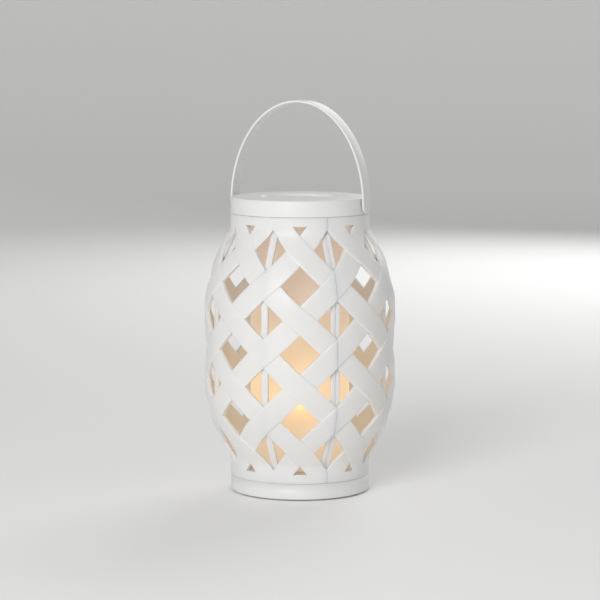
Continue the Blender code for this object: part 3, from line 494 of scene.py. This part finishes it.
def strap_surface(sizes):
    """Flat strap carried along half an ellipse: a rounded rectangle at every step, whose width
    closes in a half circle at both ends, round the pivots."""
    half_width = sizes.strap_width / 2
    reach_out = STRAP_SPAN - sizes.strap_thick
    rise = float(STRAP_HIGH[2]) - PIVOT_Z
    past_point = 0.004    # radians from the very end, where the width would be zero
    end_steps, arch_steps = 28, 129
    end_turn = np.linspace(past_point, math.pi / 2, end_steps)[:-1]
    arch = np.linspace(0, math.pi, arch_steps)
    cosine = np.concatenate([np.ones_like(end_turn), np.cos(arch), -np.ones_like(end_turn)])
    sine = np.concatenate([np.zeros_like(end_turn), np.sin(arch), np.zeros_like(end_turn)])
    drop = np.concatenate([-half_width * np.cos(end_turn), np.zeros_like(arch),
                           -half_width * np.cos(end_turn[::-1])])
    width = half_width * np.concatenate([np.sin(end_turn), np.ones_like(arch),
                                         np.sin(end_turn[::-1])])
    soft = 0.4 * MM
    turn = np.linspace(0, math.pi / 2, 5)
    corner = np.stack([np.cos(turn), np.sin(turn)], axis=1) * soft
    thick = sizes.strap_thick
    places = [(1, 1), (-1, 1), (-1, -1), (1, -1)]
    section = []
    for side, face in places:
        arc = corner if side * face > 0 else corner[::-1]
        section += [(side, (x - soft) * side, face * (thick / 2 - soft + y)) for x, y in arc]
    section = np.array(section)
    across = (section[None, :, 0] * width[:, None]
              + section[None, :, 1] * (width / half_width)[:, None])
    depth = thick / 2 + section[None, :, 2]
    x = (reach_out + depth) * cosine[:, None]
    z = PIVOT_Z + (rise - thick + depth) * sine[:, None] + drop[:, None]
    turn = STRAP_ANGLE - math.pi / 2
    points = np.stack([x * math.cos(turn) - across * math.sin(turn),
                       x * math.sin(turn) + across * math.cos(turn), z], axis=-1)
    count = len(section)
    faces = grid_faces(len(points), count, wrap_columns=True).tolist()
    last = (len(points) - 1) * count
    faces += [list(range(count)), list(range(last, last + count))[::-1]]
    made = store_mesh("strap_surface", points.reshape(-1, 3), faces)
    tidy_mesh(made)
    return made


def pillar_surface():
    """Frosted pillar: a thin tube with soft rims."""
    wall = 1.2 * MM
    rim = 0.3 * MM
    radius = float(PILLAR_HIGH[0])
    low, high = float(PILLAR_LOW[2]), float(PILLAR_HIGH[2])
    bore = radius - wall
    outline = [(bore, low), (bore, high), (radius, high), (radius, low)]
    return turned("pillar_surface", rounded(outline, [rim] * 4, 4), 128)


def flame_surface():
    """Flame-shaped lens: its radius is the sine of half a turn times the height's share to a power
    below one, so that it is full below and runs to a point above."""
    fullness = 0.7
    low, high = float(FLAME_LOW[2]), float(FLAME_HIGH[2])
    share = np.linspace(0, 1, 49)
    radius = float(FLAME_HIGH[0]) * np.sin(math.pi * share ** fullness)
    radius[0] = radius[-1] = 0
    return turned("flame_surface", np.stack([radius, low + (high - low) * share], axis=1)[::-1], 64)


def smooth_copy(node, edge=0.0):
    """A model piece with its loose triangles joined and shaded smooth between sharp edges, and a
    fine bevel on them if asked."""
    source = frame["nodes"][node]
    made = bpy.data.objects.new(node + "_finish", source.data.copy())
    bpy.context.scene.collection.objects.link(made)
    tidy_mesh(made, 30.0)    # the facets of the model's round parts meet at less
    if edge > 0:
        bevel = made.modifiers.new("edge", "BEVEL")
        bevel.width = edge
        bevel.segments = 2
        bevel.limit_method = "ANGLE"
        bevel.angle_limit = math.radians(40)
        bevel.harden_normals = True
    return made


def sweep_floor(flat=2.3, bend=0.7, segments=96):
    """Round floor turned from one outline: flat, then a quarter circle up, like a paper sweep. It
    lies a hair below the foot pads, so that no two faces share a plane."""
    below = 0.03 * MM
    turn = np.linspace(0, math.pi / 2, 17)
    rings = [0.001, 0.5, 1.2]
    radius = np.concatenate([rings, flat + bend * np.sin(turn)])
    height = np.concatenate([np.zeros(len(rings)), bend * (1 - np.cos(turn))]) - below
    angle = np.linspace(0, 2 * math.pi, segments, endpoint=False)
    points = np.stack([radius[:, None] * np.cos(angle), radius[:, None] * np.sin(angle),
                       np.repeat(height[:, None], segments, axis=1)], axis=-1).reshape(-1, 3)
    faces = grid_faces(len(radius), segments, wrap_columns=True)[:, ::-1].tolist()
    return store_mesh("floor", points, faces + [list(range(segments))])


# ---- materials ----------------------------------------------------------------------------
def add_node(tree, kind, values=None, links=None, **settings):
    """One node with its settings, input values and links from other nodes' outputs."""
    node = tree.nodes.new(kind)
    for key, value in settings.items():
        setattr(node, key, value)
    for key, value in (values or {}).items():
        node.inputs[key].default_value = value
    for key, source in (links or {}).items():
        tree.links.new(source, node.inputs[key])
    return node


def scaled(tint, share):
    """A colour made darker or stronger."""
    return tuple(v * share for v in tuple(tint)[:3]) + (1.0,)


def start_material(name, values):
    """A material with a Principled shader set to given values, its tree and that shader."""
    made = bpy.data.materials.new(name)
    made.use_nodes = True
    tree = made.node_tree
    shader = tree.nodes["Principled BSDF"]
    for key, value in values.items():
        shader.inputs[key].default_value = value
    return made, tree, shader


def moulded_plastic(name, tint, rough=0.42, texture_mm=0.45, relief_mm=0.012, drift=0.03,
                    milky=0.0):
    """Polypropylene or ABS from a mould with a fine spark-eroded texture: to the eye an even satin
    white whose highlights break up, with slow drifts of tone about 28 mm across from the flow of
    the melt. The real texture is about 0.1 mm and is drawn coarser, because it would not show.
    Milky plastic lets light spread about 4 mm through it, which softens shadows and warms the
    edges of the openings."""
    made, tree, shader = start_material(name, {
        "Roughness": rough, "IOR": 1.5, "Subsurface Weight": milky, "Subsurface Scale": 1 * MM,
        "Subsurface Radius": (4.5, 4.0, 3.2)})
    place = add_node(tree, "ShaderNodeTexCoord").outputs["Object"]
    flow = add_node(tree, "ShaderNodeTexNoise", {"Scale": 1 / (28 * MM), "Detail": 2.0},
                    {"Vector": place})
    tone = add_node(tree, "ShaderNodeMix", {"A": scaled(tint, 1 - 2 * drift), "B": scaled(tint, 1)},
                    {"Factor": flow.outputs["Fac"]}, data_type="RGBA")
    tree.links.new(tone.outputs["Result"], shader.inputs["Base Color"])
    grain = add_node(tree, "ShaderNodeTexNoise", {"Scale": 1 / (texture_mm * MM), "Detail": 3.0},
                     {"Vector": place})
    satin = add_node(tree, "ShaderNodeMapRange", {"To Min": rough - 0.06, "To Max": rough + 0.08},
                     {"Value": grain.outputs["Fac"]})
    tree.links.new(satin.outputs["Result"], shader.inputs["Roughness"])
    relief = add_node(tree, "ShaderNodeBump", {"Strength": 0.35, "Distance": relief_mm * MM},
                      {"Height": grain.outputs["Fac"]})
    tree.links.new(relief.outputs["Normal"], shader.inputs["Normal"])
    return made


def frosted_pillar(name, colours):
    """Acrylic sand-blasted inside: half of the light goes through it blurred, so the flame shows
    as a soft patch. Its emission is a painted glow that stands for the light it scatters: cream
    all over, and warmer level with the flame, as a bell curve of the height."""
    spread = 48 * MM
    made, tree, shader = start_material(name, {
        "Base Color": colours.frost, "Roughness": 0.55, "IOR": 1.49, "Transmission Weight": 0.5,
        "Emission Strength": 1.0})
    place = add_node(tree, "ShaderNodeTexCoord").outputs["Object"]
    height = add_node(tree, "ShaderNodeSeparateXYZ", links={"Vector": place}).outputs["Z"]
    flame_z = float(FLAME_LOW[2] + FLAME_HIGH[2]) / 2
    away = add_node(tree, "ShaderNodeMath", {1: flame_z}, {0: height}, operation="SUBTRACT")
    share = add_node(tree, "ShaderNodeMath", {1: spread}, {0: away.outputs[0]}, operation="DIVIDE")
    square = add_node(tree, "ShaderNodeMath", {1: 2.0}, {0: share.outputs[0]}, operation="POWER")
    minus = add_node(tree, "ShaderNodeMath", {1: -1.0}, {0: square.outputs[0]},
                     operation="MULTIPLY")
    bell = add_node(tree, "ShaderNodeMath", links={0: minus.outputs[0]}, operation="EXPONENT")
    # painted glow: cream emission all over, plus a warmer bell curve of the height at the flame
    pillar_glow = scaled(colours.glow, colours.pillar_glow)
    lit = tuple(a + b for a, b in zip(pillar_glow, scaled(colours.core, colours.core_glow)))
    core_glow = add_node(tree, "ShaderNodeMix", {"A": pillar_glow, "B": lit},
                    {"Factor": bell.outputs[0]}, data_type="RGBA")
    tree.links.new(core_glow.outputs["Result"], shader.inputs["Emission Color"])
    return made


def lit_flame(name, colours):
    """Clear acrylic lens full of the light of the chip below it: brightest low in the flame, and
    nearly out at its tip."""
    foot, point, tip = 6 * MM, 8 * MM, 0.08
    made, tree, shader = start_material(name, {
        "Base Color": colours.flame, "Roughness": 0.3, "IOR": 1.49,
        "Emission Strength": colours.power})
    place = add_node(tree, "ShaderNodeTexCoord").outputs["Object"]
    height = add_node(tree, "ShaderNodeSeparateXYZ", links={"Vector": place}).outputs["Z"]
    share = add_node(tree, "ShaderNodeMapRange", {"From Min": float(FLAME_LOW[2]) + foot,
                                                  "From Max": float(FLAME_HIGH[2]) - point},
                     {"Value": height}, interpolation_type="SMOOTHSTEP")
    hue = add_node(tree, "ShaderNodeMix",
                   {"A": scaled(colours.flame, 1), "B": scaled(colours.flame, tip)},
                   {"Factor": share.outputs["Result"]}, data_type="RGBA")
    tree.links.new(hue.outputs["Result"], shader.inputs["Emission Color"])
    return made


def plated_steel(name, tint, rough):
    """Steel with a thin zinc or nickel plate from a barrel: bright, with fine tumbling scratches
    about 0.6 mm apart."""
    made, tree, shader = start_material(name, {"Metallic": 1.0, "Roughness": rough})
    place = add_node(tree, "ShaderNodeTexCoord").outputs["Object"]
    scratch = add_node(tree, "ShaderNodeTexNoise",
                       {"Scale": 1 / (0.6 * MM), "Detail": 4.0, "Distortion": 1.5},
                       {"Vector": place})
    tone = add_node(tree, "ShaderNodeMix", {"A": scaled(tint, 0.8), "B": scaled(tint, 1)},
                    {"Factor": scratch.outputs["Fac"]}, data_type="RGBA")
    gloss = add_node(tree, "ShaderNodeMapRange", {"To Min": rough - 0.08, "To Max": rough + 0.12},
                     {"Value": scratch.outputs["Fac"]})
    tree.links.new(tone.outputs["Result"], shader.inputs["Base Color"])
    tree.links.new(gloss.outputs["Result"], shader.inputs["Roughness"])
    return made


def coated_board(name, tint, trace):
    """Circuit board: glossy solder mask over copper, whose tracks show as slightly lighter lines
    about 1.4 mm wide."""
    made, tree, shader = start_material(name, {"Roughness": 0.3, "Coat Weight": 0.3, "IOR": 1.5})
    place = add_node(tree, "ShaderNodeTexCoord").outputs["Object"]
    lines = add_node(tree, "ShaderNodeTexBrick",
                     {"Scale": 1 / (9 * MM), "Mortar Size": 0.08, "Color1": linear(tint),
                      "Color2": linear(tint), "Mortar": linear(trace)}, {"Vector": place})
    tree.links.new(lines.outputs["Color"], shader.inputs["Base Color"])
    return made


def cell_sleeve(name):
    """Printed shrink sleeve on a steel can: a plain dark green body with a copper-coloured band at
    one end, by how far a point is along the cell."""
    half, band = 25 * MM, 0.3
    made, tree, shader = start_material(name, {"Roughness": 0.3, "Coat Weight": 0.4, "IOR": 1.5})
    place = add_node(tree, "ShaderNodeTexCoord").outputs["Object"]
    along = add_node(tree, "ShaderNodeSeparateXYZ", links={"Vector": place}).outputs["X"]
    share = add_node(tree, "ShaderNodeMapRange", {"From Min": -half, "From Max": half},
                     {"Value": along})
    ramp = add_node(tree, "ShaderNodeValToRGB", links={0: share.outputs["Result"]})
    ramp.color_ramp.interpolation = "CONSTANT"
    ramp.color_ramp.elements[0].color = linear("B08A4A")
    ramp.color_ramp.elements[1].position = band
    ramp.color_ramp.elements[1].color = linear("1F5A40")
    tree.links.new(ramp.outputs["Color"], shader.inputs["Base Color"])
    return made


def soft_rubber(name, tint, rough=0.7):
    """Moulded elastomer or soft PVC: matt, with a fine mottled grain about 0.5 mm across."""
    made, tree, shader = start_material(name, {"Roughness": rough, "IOR": 1.52})
    place = add_node(tree, "ShaderNodeTexCoord").outputs["Object"]
    grain = add_node(tree, "ShaderNodeTexNoise", {"Scale": 1 / (0.5 * MM), "Detail": 3.0},
                     {"Vector": place})
    tone = add_node(tree, "ShaderNodeMix", {"A": scaled(tint, 0.85), "B": scaled(tint, 1)},
                    {"Factor": grain.outputs["Fac"]}, data_type="RGBA")
    relief = add_node(tree, "ShaderNodeBump", {"Strength": 0.5, "Distance": 0.02 * MM},
                      {"Height": grain.outputs["Fac"]})
    tree.links.new(tone.outputs["Result"], shader.inputs["Base Color"])
    tree.links.new(relief.outputs["Normal"], shader.inputs["Normal"])
    return made


def lantern_materials(colours):
    """Every material, made once, by the record's slot names."""
    if "shell" in MATERIALS:
        return MATERIALS
    plastic = colours.plastic
    MATERIALS.update({
        "shell": moulded_plastic("moulded_white_polypropylene", plastic, milky=0.5),
        "lid": moulded_plastic("moulded_white_lid", plastic),
        "bail": moulded_plastic("moulded_white_strap", plastic, 0.4, 0.5, 0.01),
        "base": moulded_plastic("moulded_white_base", plastic),
        "door": moulded_plastic("moulded_white_door", plastic, 0.48, 0.35, 0.02),
        "knob": moulded_plastic("moulded_white_knob", plastic, 0.45, 0.35, 0.02),
        "inner_white": moulded_plastic("moulded_offwhite_inner", linear("DAD6CC"), 0.5),
        "holder": moulded_plastic("moulded_black_holder", linear("1E1F21"), 0.5, 0.4, 0.02, 0.1),
        "switch": moulded_plastic("moulded_black_switch", linear("232426"), 0.4, 0.3, 0.01, 0.1),
        "chip": moulded_plastic("black_epoxy_package", linear("1A1B1D"), 0.55, 0.25, 0.02, 0.1),
        "diffuser": frosted_pillar("frosted_acrylic_pillar_painted_glow", colours),
        "flame": lit_flame("lit_acrylic_flame", colours),
        "led": soft_rubber("phosphor_silicone", linear("E8B84A"), 0.4),
        "board": coated_board("green_solder_mask", "1E5A36", "3C7A50"),
        "board_white": coated_board("white_solder_mask", "E9E7DF", "D8D5C8"),
        "cell": cell_sleeve("printed_cell_sleeve"),
        "contact": plated_steel("nickel_plated_spring_steel", linear("C9C6BE"), 0.24),
        "screw": plated_steel("zinc_plated_steel", linear("B9BCC0"), 0.32),
        "pad": soft_rubber("grey_elastomer_pad", linear("C6C6C2")),
        "lead_black": soft_rubber("black_pvc_sleeve", linear("1C1C1E"), 0.5),
        "lead_red": soft_rubber("red_pvc_sleeve", linear("A8221A"), 0.5),
    })
    return MATERIALS


MATERIALS = {}
NEW_SURFACES = {"shell_half_right", "shell_half_left", "top_lid", "handle", "diffuser_tube",
                "flame_lens"}
SQUARED = ("battery_holder", "switch_body", "timer_board", "timer_chip", "led_chip",
           "contact_plate")
SLOT_OF = {entry["node"]: entry["material_slot"] for entry in frame["record"]["subparts"]}
BODY_OF = {node: body for body, nodes in frame["record"]["behaviour"]["bodies"].items()
           for node in nodes}


def dress(piece, node):
    """Give a piece the material, the body and the slot of the model piece it stands for."""
    made = lantern_materials(bpy.context.scene.lantern_colours)[SLOT_OF[node]]
    piece.data.materials.clear()
    piece.data.materials.append(made)
    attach(piece, BODY_OF[node])
    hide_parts(node)


# ---- operators ----------------------------------------------------------------------------
SENSOR = 36.0                    # mm
LENS = 150.97                    # mm
TILT = 83.482                    # degrees of the camera from straight down
SKY = 0.4                        # strength of the even light from all round
AIM = (0, 0, 0.12)               # metres; where the lamps point
LAMPS = (("key", (-0.62, -1.70, 0.85), 0.9, 19.0),     # name, place m, side m, power W
         ("back", (0.70, 1.65, 0.95), 1.2, 12.0))


class LANTERN_OT_shell(bpy.types.Operator):
    """Weave the two halves of the shell"""
    bl_idname = "lantern.shell"
    bl_label = "Woven shell"

    def execute(self, context):
        sizes = context.scene.lantern_sizes
        for name, node, turn in (("woven_half_right", "shell_half_right", 0.0),
                                 ("woven_half_left", "shell_half_left", math.pi)):
            dress(woven_half(name, turn, sizes), node)
        return {"FINISHED"}


class LANTERN_OT_lid(bpy.types.Operator):
    """Turn the closed lid with its recess"""
    bl_idname = "lantern.lid"
    bl_label = "Lid"

    def execute(self, context):
        dress(lid_surface(context.scene.lantern_sizes), "top_lid")
        return {"FINISHED"}


class LANTERN_OT_handle(bpy.types.Operator):
    """Bend the flat strap of the handle"""
    bl_idname = "lantern.handle"
    bl_label = "Handle"

    def execute(self, context):
        dress(strap_surface(context.scene.lantern_sizes), "handle")
        return {"FINISHED"}


class LANTERN_OT_light(bpy.types.Operator):
    """Make the frosted pillar and the flame lens inside it"""
    bl_idname = "lantern.light"
    bl_label = "Pillar and flame"

    def execute(self, context):
        dress(pillar_surface(), "diffuser_tube")
        dress(flame_surface(), "flame_lens")
        return {"FINISHED"}


class LANTERN_OT_base(bpy.types.Operator):
    """Finish the pieces of the base and of the works inside"""
    bl_idname = "lantern.base"
    bl_label = "Base and works"

    def execute(self, context):
        bevel = 0.15 * MM
        for node in sorted(set(SLOT_OF) - NEW_SURFACES):
            dress(smooth_copy(node, bevel if node.startswith(SQUARED) else 0.0), node)
        return {"FINISHED"}


class LANTERN_OT_stage(bpy.types.Operator):
    """Set the camera, the plain floor and the soft light"""
    bl_idname = "lantern.stage"
    bl_label = "Stage"

    def execute(self, context):
        scene = context.scene
        sizes = scene.lantern_sizes
        lens = bpy.data.cameras.new("view")
        lens.lens = LENS
        lens.sensor_width = SENSOR
        camera = bpy.data.objects.new("view", lens)
        camera.location = (0, -sizes.distance, sizes.eye)
        camera.rotation_euler = (math.radians(TILT), 0, 0)
        scene.collection.objects.link(camera)
        scene.camera = camera
        floor = sweep_floor()
        paint = start_material("matt_studio_floor", {
            "Base Color": scene.lantern_colours.floor, "Roughness": 0.9})[0]
        floor.data.materials.append(paint)
        world = bpy.data.worlds.new("soft_room")
        world.use_nodes = True
        sky = world.node_tree.nodes["Background"]
        sky.inputs["Color"].default_value = linear("FFFFFF")
        sky.inputs["Strength"].default_value = SKY
        scene.world = world
        scene.view_settings.view_transform = "Standard"
        for name, place, size, power in LAMPS:
            soft = bpy.data.lights.new(name, "AREA")
            soft.size = size
            soft.energy = power
            lamp = bpy.data.objects.new(name, soft)
            lamp.location = place
            aim = np.array(AIM) - np.array(place)
            lamp.rotation_euler = (math.atan2(math.hypot(aim[0], aim[1]), -aim[2]), 0,
                                   math.atan2(aim[1], aim[0]) - math.pi / 2)
            scene.collection.objects.link(lamp)
        return {"FINISHED"}


class LANTERN_PT_panel(bpy.types.Panel):
    """Lantern tools in the 3D view's sidebar"""
    bl_idname = "LANTERN_PT_panel"
    bl_label = "Lantern"
    bl_space_type = "VIEW_3D"
    bl_region_type = "UI"
    bl_category = "Lantern"

    def draw(self, context):
        for made in OPERATORS:
            self.layout.operator(made.bl_idname)
        for group in (context.scene.lantern_sizes, context.scene.lantern_colours):
            box = self.layout.box()
            for name in group.__annotations__:
                box.prop(group, name)


OPERATORS = (LANTERN_OT_stage, LANTERN_OT_shell, LANTERN_OT_lid, LANTERN_OT_handle,
             LANTERN_OT_light, LANTERN_OT_base)
CLASSES = (LanternSizes, LanternColours, *OPERATORS, LANTERN_PT_panel)


def register():
    for made in CLASSES:
        bpy.utils.register_class(made)
    bpy.types.Scene.lantern_sizes = bpy.props.PointerProperty(type=LanternSizes)
    bpy.types.Scene.lantern_colours = bpy.props.PointerProperty(type=LanternColours)


def unregister():
    del bpy.types.Scene.lantern_colours
    del bpy.types.Scene.lantern_sizes
    for made in reversed(CLASSES):
        bpy.utils.unregister_class(made)


def main():
    """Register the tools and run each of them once."""
    register()
    bpy.ops.lantern.stage()
    bpy.ops.lantern.shell()
    bpy.ops.lantern.lid()
    bpy.ops.lantern.handle()
    bpy.ops.lantern.light()
    bpy.ops.lantern.base()


if __name__ == "__main__":
    main()
